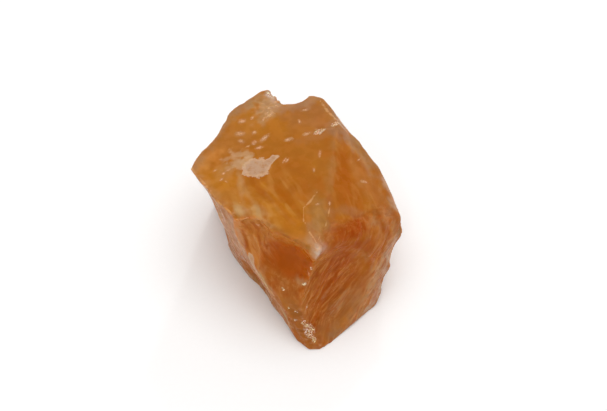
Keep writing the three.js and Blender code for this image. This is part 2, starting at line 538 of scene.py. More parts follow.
# %% Washes on each face that shows
rust_streaks = wander(3.6, 23, 3, GRAIN_RIGHT, 2.5)
paler_upwards = 0.05 + 0.6 * smooth_step(height_up, 8.0, 24.0)
for shade, amount in (
        (EMBER, 0.4 * on_roof),
        (SIENNA, fibrous * 0.9),
        # painted light and shade on the blades: paler on their crests, darker in the valleys
        # between them
        (TAWNY, on_right * 0.5 * smooth_step(blades, 0.02, 0.3)),
        (RUST, on_right * 0.4 * smooth_step(-blades, 0.02, 0.3)),
        (RUST, fibrous * smooth_step(rust_streaks, -0.2, 0.6) * 0.5),
        (SIENNA, in_hollow * 0.8),
        (COPPER, left_scar * 0.95),
        (SIENNA, on_left),
        (ROSE, on_left * (paler_upwards + 0.3 * drift_fine)),
        (SIENNA, at_tip * 0.7)):
    tint = brush(tint, shade, amount)
wall_tint = tint
print("faces washed, mean tint", np.round(tint.mean(axis=0), 3))

# %% [markdown]
# ## Zones
# Inside one face the colour still changes over a few millimetres. Noise alone can't put
# the rust under the horn or the sand along the outer edge, so each zone is an oval with a
# ragged rim at a place in the stone's box. A later zone lies over an earlier one.

# %% Directions that the zones share
TO_TIP = (0.5, -0.86, 0)
DOWN_ROOF = (0.4, -0.85, -0.25)

# %% Zones on the upper face and along its rim
# (colour, strength, place in the box, direction it runs, half length and half width in mm)
upper_zones = (
    (HONEY, 0.9, (0.44, 0.24, 0.98), TO_TIP, 9, 5),
    (HONEY, 0.8, (0.2, 0.4, 0.97), TO_TIP, 8, 4.5),
    (SAND, 0.08, (0.22, 0.68, 0.97), (0.5, 0.8, 0), 11, 6),
    (HONEY, 0.3, (0.12, 0.5, 0.955), (0.6, 0.8, 0), 7, 4),
    (APRICOT, 0.6, (0.06, 0.54, 0.954), (0.6, 0.8, 0), 6, 3.5),
    (DUST, 0.6, (0.25, 0.86, 0.975), (0.8, 0.6, 0), 6, 2.8),
    (DUST, 0.6, (0.685, 0.7, 0.99), (0.4, -0.85, -0.1), 4.5, 2.6),
    (DUST, 0.4, (0.54, 0.84, 0.99), (1, 0, 0), 3.5, 2),
    (DUST, 0.4, (0.79, 0.67, 0.905), (0.4, -0.85, -0.3), 4, 1.4),
    (DUST, 0.4, (0.57, 0.17, 0.99), (0.1, -1, 0), 5.5, 1.6),
    (UMBER, 0.3, (0.614, 0.214, 0.954), (0.1, -1, -0.1), 4, 2),
    (DUST, 0.4, (0.6, 0.88, 0.99), (1, 0, 0), 3, 1.6),
    (UMBER, 0.4, (0.7, 0.765, 0.975), (0.4, -0.85, -0.1), 3.5, 1.6),
    (DUST, 0.22, (0.56, 0.71, 0.99), (1, 0, 0), 8, 3.5),
    (APRICOT, 0.35, (0.955, 0.338, 0.654), (0, 0, 1), 3.5, 1.8),
    (TAWNY, 0.6, (0.58, 0.78, 0.99), (1, 0, 0), 11, 6),
    (CREAM, 0.3, (0.3, 0.88, 0.98), (0.8, 0.6, 0), 5, 2.4),
    (SAND, 0.3, (0.19, 0.51, 0.965), (1, 0.2, 0), 4.5, 2.4),
    (SAND, 0.1, (0.2, 0.35, 0.965), TO_TIP, 5, 3),
    (AMBER, 0.8, (0.48, 0.62, 0.98), (1, 0, 0), 12, 8),
    (EMBER, 0.3, (0.52, 0.45, 0.98), (0.4, -0.9, 0), 9, 4.5),
    (SAND, 0.8, (0.365, 0.84, 0.98), (0.3, 0.95, 0), 8, 3.6),
    (CLOUD, 0.6, (0.385, 0.875, 0.98), (0.5, -0.85, 0), 3.4, 1.3),
    # a painted highlight on the far rim, where the clear stone catches the light
    (PAINTED_HIGHLIGHT_WHITE, 0.95, (0.366, 0.897, 0.984), (0.64, -0.77, 0), 2.6, 1.3),
    (ROSE, 0.45, (0.47, 0.83, 0.99), (1, 0.2, 0), 5, 2.2),
    (ROSE, 0.4, (0.56, 0.86, 0.99), (1, 0.2, 0), 3.5, 1.8),
    (SAND, 0.15, (0.04, 0.53, 0.97), (0.4, 0.9, 0), 5.5, 1.8),
    (SAND, 0.35, (0.14, 0.78, 0.97), (0.5, 0.9, 0), 8, 1.6),
    (SAND, 0.5, (0.256, 0.275, 0.968), (1, -0.2, 0), 2.6, 2),
    (CREAM, 0.5, (0.235, 0.285, 0.965), TO_TIP, 3, 1.5),
    (SAND, 0.3, (0.165, 0.465, 0.963), (0.8, 0.5, 0), 3.4, 2),
    (OLIVE, 0.8, (0.6, 0.25, 0.99), (0.1, -1, 0), 8, 2.8),
    (SAND, 0.12, (0.603, 0.17, 0.985), (0.1, -1, 0), 5, 2),
    (UMBER, 0.3, (0.565, 0.8, 0.99), (1, 0.1, 0), 9, 4.5),
    (HONEY, 0.35, (0.15, 0.45, 0.962), (0.4, -0.9, 0), 5, 3.4),
    (EMBER, 0.35, (0.53, 0.345, 0.99), (0.4, -0.9, 0), 4.5, 2.6),
    (UMBER, 0.25, (0.71, 0.67, 0.975), (0.4, -0.85, -0.1), 5, 1.8),
    (SAND, 0.4, (0.545, 0.115, 0.97), (1, -0.5, 0), 3.5, 1.8),
)

# %% Zones on the roof
roof_zones = (
    (UMBER, 0.25, (0.89, 0.44, 0.79), DOWN_ROOF, 4.5, 2.2),
    (EMBER, 1, (0.715, 0.49, 0.96), (-0.1, -1, 0), 9.5, 3),
    (EMBER, 0.6, (0.76, 0.36, 0.9), (0.3, -1, 0), 7, 3),
    (AMBER, 0.6, (0.86, 0.34, 0.82), (0.3, -1, -0.3), 7, 3),
    (ROSE, 0.65, (0.745, 0.685, 0.95), DOWN_ROOF, 5.5, 1.7),
    (OLIVE, 0.5, (0.8, 0.64, 0.9), (0.4, -0.85, -0.35), 8, 2),
    (ROSE, 0.4, (0.825, 0.57, 0.865), DOWN_ROOF, 4, 1.3),
    (SAND, 0.45, (0.862, 0.304, 0.8), (0.3, 0.1, -0.5), 2.6, 1.6),
    (TAWNY, 0.35, (0.86, 0.47, 0.82), DOWN_ROOF, 9, 4),
    (TAWNY, 0.5, (0.78, 0.52, 0.895), DOWN_ROOF, 5, 2.5),
    (SAND, 0.3, (0.93, 0.33, 0.76), DOWN_ROOF, 4, 1.4),
    (EMBER, 0.4, (0.795, 0.57, 0.88), DOWN_ROOF, 4, 1.6),
    (DUST, 0.4, (0.735, 0.69, 0.96), DOWN_ROOF, 4.5, 1.6),
    (DUST, 0.2, (0.6, 0.66, 0.996), (1, 0.3, 0), 7, 2.2),
)

# %% Zones on the right wall and its edges
right_zones = (
    (SAND, 0.4, (0.635, 0.13, 0.33), (0.5, 0.45, 0.9), 4, 0.9),
    (RUST, 0.8, (0.742, 0.23, 0.887), (0.735, 0.67, -0.3), 6.5, 2.6),
    (RUST, 1, (0.775, 0.247, 0.861), (0.735, 0.67, -0.3), 5, 2.5),
    (RUST, 0.8, (0.7, 0.192, 0.596), (0.735, 0.67, 0.9), 9, 4.2),
    (RUST, 0.75, (0.656, 0.161, 0.402), (0.735, 0.67, 0.9), 7, 2.8),
    (SAND, 0.9, (0.95, 0.31, 0.5), (-0.3, -0.3, -0.9), 9.5, 2.6),
    (SAND, 0.9, (0.888, 0.244, 0.325), (0.45, 0.42, 0.9), 8.5, 3.2),
    (CLOUD, 0.35, (0.93, 0.27, 0.42), (-0.2, -0.2, -0.9), 8, 2.2),
    (RUST, 0.95, (0.757, 0.2, 0.71), (0.735, 0.67, -0.4), 6, 2.4),
    (RUST, 0.6, (0.775, 0.213, 0.655), (0.735, 0.67, -0.2), 5.5, 2.6),
    (UMBER, 0.4, (0.88, 0.335, 0.8), DOWN_ROOF, 4, 1.6),
    (DUST, 0.3, (0.745, 0.305, 0.905), (0.9, 0.3, -0.5), 5.5, 1.8),
    (ROSE, 0.35, (0.575, 0.125, 0.955), (1, -0.4, -0.2), 2.4, 1.6),
    (SAND, 0.6, (0.837, 0.221, 0.389), (0.45, 0.42, 0.9), 5, 1.5),
    (SAND, 0.4, (0.82, 0.204, 0.3), (0.45, 0.42, 0.9), 5, 1.7),
    (SAND, 0.45, (0.813, 0.169, 0.141), (0.5, 0.45, 0.75), 5.5, 2.4),
    (SAND, 0.25, (0.755, 0.124, 0.091), (0.6, 0.5, 0.6), 4.5, 1.6),
    # paler near the lower right edge: partly thin stone, partly a painted sheen
    (PALE_EDGE_SHEEN, 0.35, (0.87, 0.22, 0.2), (0.3, 0.3, 0.9), 6, 2),
    (SAND, 0.25, (0.84, 0.21, 0.26), (0.5, 0.4, 0.9), 8.5, 4.4),
    (SAND, 0.1, (0.77, 0.17, 0.18), (0.6, 0.5, 0.6), 7, 4),
    (SAND, 0.12, (0.75, 0.15, 0.15), (0.735, 0.67, 0.5), 8, 3),
)

# %% Zones in the hollow, on its ribs, at the tip and at the foot of the right wall
hollow_zones = (
    (CLOUD, 0.5, (0.245, 0.257, 0.7), (0.3, -0.1, -1), 4.5, 0.8),
    (ROSE, 0.5, (0.195, 0.285, 0.67), (0.3, -0.2, -1), 4.5, 1.6),
    (SAND, 0.4, (0.37, 0.2, 0.31), (0.3, -0.25, -0.9), 4, 1.6),
    (BRICK, 0.5, (0.53, 0.12, 0.88), (0.5, -0.2, -0.8), 3.4, 1.5),
    (SIENNA, 0.8, (0.515, 0.108, 0.54), (1, 0, 0), 3.4, 2),
    (TAWNY, 0.35, (0.48, 0.08, 0.4), (0.3, -0.4, -0.9), 8, 4.5),
    (UMBER, 0.55, (0.7, 0.12, 0.17), (0.735, 0.67, 0.5), 10, 4.5),
    (SAND, 0.4, (0.335, 0.185, 0.55), (0.25, -0.2, -0.9), 4, 1.2),
    (SAND, 0.1, (0.42, 0.13, 0.48), (0.3, -0.25, -0.9), 6, 2.5),
    (CREAM, 0.55, (0.36, 0.155, 0.4), (0.3, -0.25, -0.9), 6, 1.5),
    (SAND, 0.6, (0.7, 0.145, 0.22), (0.735, 0.67, 0.55), 4.5, 1.3),
    (UMBER, 0.35, (0.56, 0.03, 0.2), (0.3, -0.3, -0.9), 6, 4),
    (UMBER, 0.35, (0.485, 0.065, 0.33), (0.3, -0.3, -0.9), 4.5, 2.6),
)

# %% Lay the zones
zones = upper_zones + roof_zones + right_zones + hollow_zones
for shade, strength, *mark in zones:
    tint = brush(tint, shade, strength * smooth_step(oval(*mark) + ragged_rim, -0.15, 0.6))
print("zones:", len(zones))

# %% A film of dust, the rust patch, and the dark core of the hollow with painted shade
DUST_FILM = 0.04
tint = brush(tint, DUST, np.full(corners, DUST_FILM))
rusty = patch((0.765, 0.21, 0.68), (0.735, 0.67, -0.4), 9.5, 5.2, 0.8)
tint = brush(tint, RUST, 0.7 * rusty)
core = patch((0.47, 0.165, 0.7), (0.88, -0.45, -0.1), 8.5, 7.0, 0.45)
core = np.maximum(core, patch((0.52, 0.14, 0.8), (0.88, -0.45, -0.1), 4.5, 4.0, 0.5))
tint = brush(tint, COPPER, deep_scar * 0.6 * (1.0 - core) * smooth_step(height_up, 16.5, 22.0))
# the deepest part of the hollow: its own deeper red, darkened further as painted shade
tint = brush(tint, BRICK, deep_scar * (0.25 + 0.85 * core + 0.15 * drift_fine))

# %% [markdown]
# ## Bands, rims and painted light
# Planes inside the stone show as pale and dark bands. The stone is greyer near its outer
# edges, where it is thin and bruised, and paler there, partly as a painted sheen of light.
# One dark band is a painted shadow where the left wall meets the hollow. Real inner planes
# would be loose faces, so the bands are strokes of the same brush, from place to place.

# %% Bands inside the stone
# (colour, strength, half width in mm, places along it)
inner_bands = (
    (SAND, 0.32, 1.1, ((0.225, 0.479, 0.966), (0.261, 0.384, 0.969), (0.31, 0.305, 0.972),
                       (0.37, 0.258, 0.976))),
    (SAND, 0.3, 0.9, ((0.235, 0.46, 0.966), (0.25, 0.36, 0.969), (0.262, 0.27, 0.97))),
    (HONEY, 0.8, 1.0, ((0.339, 0.417, 0.974), (0.424, 0.302, 0.98), (0.515, 0.199, 0.986))),
    (SAND, 0.16, 0.7, ((0.35, 0.37, 0.974), (0.43, 0.27, 0.98), (0.49, 0.2, 0.986))),
    (SAND, 0.05, 0.9, ((0.441, 0.408, 0.982), (0.49, 0.35, 0.985), (0.533, 0.303, 0.988))),
    (EMBER, 0.5, 1.1, ((0.4, 0.4, 0.98), (0.46, 0.31, 0.98), (0.53, 0.24, 0.985))),
    (CREAM, 0.5, 1.5, ((0.316, 0.285, 0.972), (0.345, 0.24, 0.974), (0.372, 0.198, 0.976))),
    (CREAM, 0.1, 1.0, ((0.37, 0.21, 0.976), (0.44, 0.165, 0.981), (0.5, 0.13, 0.976))),
    (AMBER, 0.5, 1.3, ((0.45, 0.165, 0.976), (0.515, 0.135, 0.976))),
    (OLIVE, 0.4, 2.0, ((0.671, 0.625, 0.998), (0.664, 0.502, 0.995), (0.648, 0.372, 0.992))),
    (SAND, 0.12, 0.9, ((0.69, 0.7, 0.998), (0.672, 0.6, 0.998), (0.668, 0.502, 0.995),
                       (0.66, 0.4, 0.99))),
    (SAND, 0.15, 0.7, ((0.6, 0.3, 0.992), (0.603, 0.2, 0.985), (0.607, 0.13, 0.97))),
    (DUST, 0.2, 1.3, ((0.643, 0.347, 0.992), (0.665, 0.269, 0.942), (0.649, 0.149, 0.935))),
    (CREAM, 0.35, 1.2, ((0.1, 0.4, 0.79), (0.143, 0.387, 0.615), (0.194, 0.367, 0.397))),
)

# %% Lines along the outer edges
FAR_EDGE = (
    (0, 0.5, 0.95), (0.02, 0.56, 0.95), (0.177, 0.828, 0.963), (0.277, 0.898, 0.97),
    (0.338, 0.943, 0.98), (0.385, 0.9, 0.98), (0.469, 0.853, 0.98), (0.563, 0.893, 0.98),
    (0.62, 0.889, 0.99), (0.654, 0.841, 0.99), (0.708, 0.754, 0.963),
)
ROOF_EDGE = (
    (0.708, 0.754, 0.963), (0.817, 0.66, 0.88), (0.892, 0.589, 0.803), (0.948, 0.486, 0.74),
    (0.996, 0.375, 0.686), (1, 0.353, 0.571),
)
RIGHT_EDGE = (
    (0.985, 0.36, 0.64), (0.971, 0.328, 0.541), (0.943, 0.301, 0.486), (0.936, 0.288, 0.4),
    (0.929, 0.275, 0.311), (0.905, 0.251, 0.247), (0.898, 0.238, 0.157), (0.875, 0.214, 0.092),
    (0.841, 0.185, 0.038), (0.721, 0.087, 0.035), (0.69, 0.065, 0.03),
)
LEFT_FOOT = (
    (0.153, 0.471, 0.176), (0.195, 0.444, 0.042), (0.263, 0.363, 0.026), (0.34, 0.284, 0.02),
    (0.387, 0.179, 0.077), (0.5, 0.05, 0),
)

# %% Rims and the bands that lie over them
rims = (
    (EDGE, 0.7, 3.0, FAR_EDGE),
    (EDGE, 0.75, 3.6, ROOF_EDGE),
    (EDGE, 0.8, 3.2, RIGHT_EDGE),
    (EDGE, 0.5, 2.5, LEFT_FOOT),
)
outer_bands = (
    # a painted shadow along the line where the left wall meets the hollow
    (RUST, 0.7, 0.9, ((0.25, 0.252, 0.8), (0.262, 0.25, 0.72), (0.272, 0.24, 0.64))),
    (OLIVE, 0.45, 2.6, ((0.33, 0.18, 0.45), (0.39, 0.16, 0.26), (0.46, 0.09, 0.14))),
    (CREAM, 0.5, 1.5, ((0.312, 0.196, 0.471), (0.349, 0.164, 0.406), (0.375, 0.165, 0.31),
                       (0.39, 0.16, 0.24), (0.42, 0.135, 0.19), (0.45, 0.1, 0.15))),
    (SAND, 0.5, 1.5, ((0.505, 0.12, 0.555), (0.545, 0.095, 0.56))),
    (UMBER, 0.5, 0.8, ((0.33, 0.22, 0.965), (0.412, 0.178, 0.968), (0.493, 0.125, 0.956),
                       (0.55, 0.097, 0.945))),
    (UMBER, 0.5, 1.8, ((0.655, 0.85, 0.985), (0.7, 0.775, 0.965), (0.74, 0.72, 0.94))),
    (SAND, 0.32, 2.0, ((0.035, 0.46, 0.952), (0.084, 0.405, 0.95), (0.125, 0.35, 0.955),
                       (0.16, 0.31, 0.955))),
    (SAND, 0.5, 1.8, LEFT_FOOT[2:5]),
    # paler along the outer edges: partly thin bruised stone, partly a painted sheen of light
    (PALE_EDGE_SHEEN, 0.6, 1.5, ((0.921, 0.535, 0.771), (0.948, 0.465, 0.742), (0.975, 0.4, 0.708))),
    (PALE_EDGE_SHEEN, 0.8, 1.9, RIGHT_EDGE[1:-2]),
    (PALE_EDGE_SHEEN, 0.5, 1.2, LEFT_FOOT[:3]),
)

# %% Lay the bands, then clean the hidden walls of paint that ran over an edge
bands = inner_bands + rims + outer_bands
for shade, strength, half_width, places in bands:
    inside = stroke(half_width, *places) + 1.3 * ragged_rim
    tint = brush(tint, shade, strength * smooth_step(inside, 0.0, 0.9))
steep = smooth_step(0.5 - calm[:, 2], -0.1, 0.3)
tint = brush(tint, wall_tint, 0.85 * hidden * steep)
tint = soften(tint, 1)
print("bands:", len(bands))

# %% [markdown]
# ## Veils, chips, seams, glints and painted highlights
# The last marks are smaller than a zone. A veil is a sheet of tiny cracks just under the
# surface. A chip is a bruised spot whose bright core is partly a painted highlight, and a
# seam is where a thin leaf of stone ends, its bright line partly a painted edge highlight.
# A glint is a painted highlight: thin bright curls in the colour, over a glossier coat.
# Frost on the sharp edges is partly bruising and partly a painted sheen. Drawn straight on
# the corners they would blur, so each is kept as a soft field, 1 at its middle and 0 at its
# rim. The material adds fine noise to the field and then cuts it, so the rim comes out
# ragged and sharp.

# %% Cloudy veils
def union(fields):
    """The largest of several fields at each corner."""
    return np.maximum.reduce([np.maximum(values, -1.0) for values in fields])


veil = union([
    oval((0.313, 0.497, 0.974), (1, 0, 0), 3.8, 3.3),
    oval((0.362, 0.525, 0.979), (0.72, 0.69, 0), 3.6, 1.1),
    oval((0.29, 0.216, 0.53), (0.25, -0.2, -0.9), 3.6, 1.1),
])

# %% Thin haze beside the veil, and the bruised corner of the brow
# (place in the box, direction it runs, half length and half width in mm, strength)
hazes = (
    ((0.235, 0.573, 0.968), (1, -0.1, 0), 4.2, 1.7, 0.55),
    ((0.23, 0.518, 0.97), (1, -0.3, 0), 3.6, 1.8, 0.5),
    ((0.2, 0.548, 0.967), (1, 0, 0), 3.6, 1.3, 0.45),
    ((0.265, 0.54, 0.97), (1, 0.2, 0), 2.6, 1.6, 0.6),
    ((0.175, 0.505, 0.965), (1, 0.5, 0), 2.6, 0.8, 0.3),
)
wisps = 0.4 * wander(1.6, 45, 3)
for *mark, strength in hazes:
    tint = brush(tint, HAZE, strength * smooth_step(oval(*mark) + wisps, 0.0, 0.6))
bruise = patch((0.6, 0.088, 0.945), (0.1, -0.3, -1), 3.3, 2.4, 1.0)
bruise = np.maximum(bruise, 0.4 * patch((0.625, 0.115, 0.925), (0.1, -0.3, -1), 2.4, 1.8, 1.0))

# %% Chips, bruised spots whose cores are partly painted glints
# (across, deep, turn in radians, half length and half width in mm) on the upper face
chips_and_glints = (
    (0.234, 0.757, 0.4, 1, 0.7), (0.226, 0.688, 0, 1.2, 0.7), (0.235, 0.643, 2.6, 0.9, 0.5),
    (0.295, 0.634, 1, 0.8, 0.6), (0.293, 0.692, 1.2, 0.7, 0.6), (0.341, 0.654, 0.9, 1.8, 0.6),
    (0.317, 0.605, 0.3, 1.1, 0.5), (0.267, 0.616, 0.4, 0.7, 0.3), (0.284, 0.775, 1.2, 0.7, 0.4),
    (0.363, 0.785, 0.9, 1.3, 0.7), (0.46, 0.644, 0.3, 1.3, 0.6), (0.512, 0.746, 1.8, 0.9, 0.3),
    (0.537, 0.811, 0.3, 1.1, 0.4), (0.543, 0.676, 0.4, 1.1, 0.5), (0.607, 0.684, 0.7, 0.9, 0.3),
    (0.625, 0.7, 0.7, 0.7, 0.3), (0.682, 0.725, 0.7, 1, 0.3), (0.594, 0.303, 0.3, 0.6, 0.3),
    (0.61, 0.56, 1.45, 1.3, 0.3), (0.58, 0.472, 1.7, 0.8, 0.3), (0.44, 0.535, 1.1, 1.1, 0.25),
    (0.452, 0.53, 1.1, 0.9, 0.25), (0.175, 0.49, 0.6, 0.8, 0.3), (0.158, 0.472, 0.3, 0.5, 0.3),
    (0.148, 0.445, 0.9, 0.6, 0.3), (0.17, 0.43, 2.4, 0.5, 0.25), (0.114, 0.491, 0.6, 0.5, 0.25),
    (0.385, 0.862, 0.15, 1.7, 0.2), (0.395, 0.842, -0.3, 1.5, 0.2), (0.372, 0.825, 0.3, 1.3, 0.22),
    (0.352, 0.8, 0.9, 0.9, 0.3), (0.34, 0.765, 1.2, 0.9, 0.3),
)
LONGER, WIDER = 1.25, 1.35
chip_and_glint = union([
    oval((across, deep, 1.0), (math.cos(turn), math.sin(turn), 0.0), LONGER * length, WIDER * width)
    for across, deep, turn, length, width in chips_and_glints
] + [
    oval((0.647, 0.313, 0.972), (0.1, -1, 0), 0.9, 0.4),
    oval((0.816, 0.478, 0.863), (1, 0.2, -0.6), 1.5, 0.5),
    oval((0.798, 0.588, 0.891), (0.5, 0.8, -0.3), 1.2, 0.25),
    oval((0.545, 0.105, 0.66), (0.2, -0.3, -1), 1.1, 0.4),
    oval((0.306, 0.223, 0.881), (1, -0.4, 0), 0.6, 0.5),
])
# bruised spots; their bright cores, cut in the material, are partly painted highlights
tint = brush(tint, ROSE, 0.3 * smooth_step(chip_and_glint + 0.2 * drift_fine, -0.2, 0.6))
print("chips on the upper face:", len(chips_and_glints))

# %% Seams, partly painted highlights along edges
# bright lines where thin leaves of stone end, partly painted highlights along the edges
seam_and_edge_highlight = union([
    stroke(0.3, (0.225, 0.247, 0.936), (0.25, 0.243, 0.955), (0.276, 0.242, 0.969),
           (0.241, 0.323, 0.968)),
    stroke(0.4, (0.007, 0.51, 0.95), (0.05, 0.45, 0.955), (0.1, 0.384, 0.96), (0.144, 0.327, 0.95),
           (0.19, 0.283, 0.956), (0.228, 0.243, 0.95), (0.28, 0.246, 0.97)),
    stroke(0.35, (0.59, 0.116, 0.98), (0.56, 0.163, 0.99), (0.533, 0.223, 0.99),
           (0.529, 0.283, 0.99)),
    stroke(0.4, (0.529, 0.283, 0.99), (0.559, 0.317, 0.99), (0.594, 0.36, 0.99)),
    stroke(0.3, (0.656, 0.317, 0.969), (0.632, 0.218, 0.946), (0.6, 0.136, 0.966)),
    stroke(0.6, (0.615, 0.862, 0.994), (0.65, 0.8, 0.997), (0.685, 0.755, 0.995)),
    stroke(0.35, (0.335, 0.177, 0.423), (0.383, 0.132, 0.387), (0.444, 0.084, 0.289)),
    stroke(0.3, (0.327, 0.858, 0.977), (0.365, 0.85, 0.98), (0.4, 0.866, 0.98)),
    stroke(0.3, (0.33, 0.835, 0.977), (0.37, 0.842, 0.98), (0.405, 0.83, 0.98)),
    stroke(0.3, (0.355, 0.83, 0.977), (0.375, 0.81, 0.98), (0.39, 0.79, 0.98)),
])

# %% Frost and painted sheen on the sharp edges
# pale where an edge stands out: partly frosted bruises, partly a painted sheen of light along the
# edges
frost_and_edge_sheen = smooth_step(stand_out(EDGE_ROUNDS), 0.1, 0.3)
frost_and_edge_sheen = np.clip(frost_and_edge_sheen + 0.3 * soften(frost_and_edge_sheen, 8), 0.0, 1.0)
near_scar = np.clip(2.0 * soften(deep_scar, 12), 0.0, 1.0)
frost_and_edge_sheen *= (1.0 - 0.9 * near_scar) * (1.0 - 0.8 * rubbed)
brow_line = stroke(2.4, (0.33, 0.22, 0.976), (0.412, 0.178, 0.979), (0.493, 0.125, 0.967),
                   (0.56, 0.093, 0.955))
frost_and_edge_sheen *= 1.0 - 0.85 * smooth_step(brow_line, 0.0, 0.5)
print("frosted skin: %.0f%%" % (100.0 * frost_and_edge_sheen.mean()))

# %% Glints, painted as highlights
# painted highlights: the places where the material lays bright curls into the colour as glints
painted_glint = union([
    oval((0.557, 0.035, 0.165), (-0.3, 0.3, 1), 2.5, 1.5),
    oval((0.575, 0.02, 0.09), (0.5, 0, -1), 1.1, 0.7),
    oval((0.458, 0.077, 0.333), (1, 0, -0.2), 0.5, 0.35),
    oval((0.496, 0.06, 0.327), (1, 0, 0.2), 0.6, 0.35),
    oval((0.528, 0.038, 0.248), (1, 0, 0.3), 1.2, 0.6),
    oval((0.547, 0.076, 0.347), (1, 0, 0), 0.7, 0.5),
    oval((0.362, 0.902, 0.984), (0.64, -0.77, 0), 1.8, 0.7),
    oval((0.54, 0.098, 0.56), (1, 0, 0.3), 1.1, 0.4),
    oval((0.435, 0.118, 0.46), (1, -0.3, -0.6), 0.9, 0.35),
    oval((0.495, 0.052, 0.248), (1, 0, 0.3), 0.5, 0.4),
    oval((0.569, 0.107, 0.714), (-0.3, 0, 1), 0.9, 0.35),
    oval((0.607, 0.686, 0.994), (0.8, 0.55, 0), 2.0, 0.9),
    oval((0.68, 0.724, 1), (0.8, 0.55, 0), 1.6, 0.6),
])

# %% Store the paint on the skin
def store(name, values):
    """Keeps one number or colour a corner where the material can read it."""
    if values.ndim == 1:
        layer = skin.attributes.new(name, "FLOAT", "POINT")
        layer.data.foreach_set("value", values.astype(np.float32))
    else:
        layer = skin.attributes.new(name, "FLOAT_COLOR", "POINT")
        rows = np.concatenate((values, np.ones((corners, 1))), axis=1)
        layer.data.foreach_set("color", rows.astype(np.float32).ravel())


for name, values in (("tint", tint), ("veil", veil), ("chip_and_glint", chip_and_glint), ("frost_and_edge_sheen", frost_and_edge_sheen),
                     ("painted_glint", painted_glint), ("seam_and_edge_highlight", seam_and_edge_highlight), ("bruise", bruise),
                     ("hidden_wall", hidden)):
    store(name, values)
right_fibre = fibrous * (1.0 - 0.6 * rubbed) * (1.0 - 0.6 * rusty) + 0.2 * hidden
hollow_fibre = 0.9 * left_scar + 0.7 * deep_scar * (1.0 - core) + 0.5 * rib_zone
front_half = patch((0.38, 0.33, 0.98), (0.5, -0.86, 0), 14.0, 12.0, 0.6)
store("right_fibre", np.clip(right_fibre, 0, 1))
store("hollow_fibre", np.clip(hollow_fibre, 0, 1))
store("left_fibre", np.clip(on_left + 0.45 * rib_zone, 0, 1))
store("upper_streak", np.clip(on_upper * front_half + 0.5 * on_roof, 0, 1))
print("tint from", np.round(tint.min(axis=0), 3), "to", np.round(tint.max(axis=0), 3))

# %% [markdown]
# ## The stone's material
# Orange calcite is waxy and translucent: light goes in, scatters, and comes out softer, so
# shadows never go grey. One Principled shader gives that with subsurface scattering, under
# a clear, slightly uneven gloss. Fine noise breaks up the painted zones at the size of the
# real crystals, fractions of a millimetre. All patterns use the stone's own coordinates,
# so they stay on it from every side.

# %% Helpers for nodes
def blank_tree(owner):
    """Turns on the nodes of a material or a sky, and clears them."""
    owner.use_nodes = True
    owner.node_tree.nodes.clear()
    return owner.node_tree


stuff = bpy.data.materials.new("orange_calcite")
tree = blank_tree(stuff)


def node(kind, inputs=None, **settings):
    """Adds a node, sets it, and links or fills its inputs."""
    made = tree.nodes.new("ShaderNode" + kind)
    for name, value in settings.items():
        setattr(made, name, value)
    for name, value in (inputs or {}).items():
        socket = made.inputs[name]
        if isinstance(value, bpy.types.NodeSocket):
            tree.links.new(value, socket)
        else:
            socket.default_value = value
    return made


def maths(operation, first, second=0.0, clamp=False):
    """One sum on numbers."""
    return node("Math", {0: first, 1: second}, operation=operation, use_clamp=clamp).outputs[0]


def times(first, second):
    """Two numbers multiplied."""
    return maths("MULTIPLY", first, second)


def plus(first, second):
    """Two numbers added."""
    return maths("ADD", first, second)


def ramp(value, start, end, low=0.0, high=1.0):
    """low before start, high after end, and a smooth slope between them."""
    made = node("MapRange", {"Value": value, "From Min": start, "From Max": end,
                             "To Min": low, "To Max": high}, interpolation_type="SMOOTHSTEP")
    return made.outputs[0]


def blend(amount, under, over):
    """Lays a mixed colour over what is under it."""
    over = (*(float(light) for light in over), 1.0)
    return node("Mix", {0: amount, 6: under, 7: over}, data_type="RGBA").outputs[2]


def painted(name):
    """A value that was stored on the skin."""
    return node("Attribute", attribute_name=name).outputs["Fac"]


# %% [markdown]
# ## Fine patterns
# Torn calcite has fibres: fine noise that is squeezed along a grain and then bent a little,
# as no fibre is straight. Each face has its own grain. The hidden walls show faint lines
# where cleavage planes end, which are narrow crests of a distorted wave, broken up by noise.

# %% Noise, and noise along a grain
on_stone = node("TexCoord").outputs["Object"]
in_mm = node("VectorMath", {0: on_stone, "Scale": 1.0 / MM}, operation="SCALE").outputs[0]


def grains(size, detail=4.0, roughness=0.55, vector=in_mm, distortion=0.0):
    """Fine noise with lumps of that size in mm, from 0 to 1."""
    return node("TexNoise", {"Vector": vector, "Scale": 1.0 / size, "Detail": detail,
                             "Roughness": roughness, "Distortion": distortion}).outputs["Fac"]


def along(grain, stretch, vector):
    """A vector squeezed along a grain, so that noise on it turns into fibres."""
    turn = Vector(grain).to_track_quat("X", "Z").to_euler()
    made = node("Mapping", {"Vector": vector, "Rotation": turn, "Scale": (stretch, 1.0, 1.0)},
                vector_type="TEXTURE")
    return made.outputs[0]


# %% Speckle, fibres and streaks
bend = node("TexNoise", {"Vector": in_mm, "Scale": 0.11, "Detail": 1.0}).outputs["Color"]
bend = node("VectorMath", {0: bend, 1: (0.5, 0.5, 0.5)}, operation="SUBTRACT").outputs[0]
bend = node("VectorMath", {0: bend, "Scale": 5.0}, operation="SCALE").outputs[0]
bent = node("VectorMath", {0: in_mm, 1: bend}, operation="ADD").outputs[0]

speckle = grains(0.5, 4.0, 0.6)
mottle = grains(2.6, 3.0, 0.5)
fibres_right = grains(0.6, 3.0, 0.6, along(GRAIN_RIGHT, 9.0, bent), 0.35)
strands = grains(2.2, 2.0, 0.5, along(GRAIN_RIGHT, 4.0, bent), 0.3)
fibres_left = grains(0.8, 2.0, 0.55, along(GRAIN_LEFT, 12.0, bent), 0.1)
rib_fibres = grains(1.0, 3.0, 0.6, along(GRAIN_RIB, 5.0, bent), 0.5)
streaks = grains(1.6, 1.5, 0.5, along(GRAIN_UPPER, 7.0, bent), 0.2)

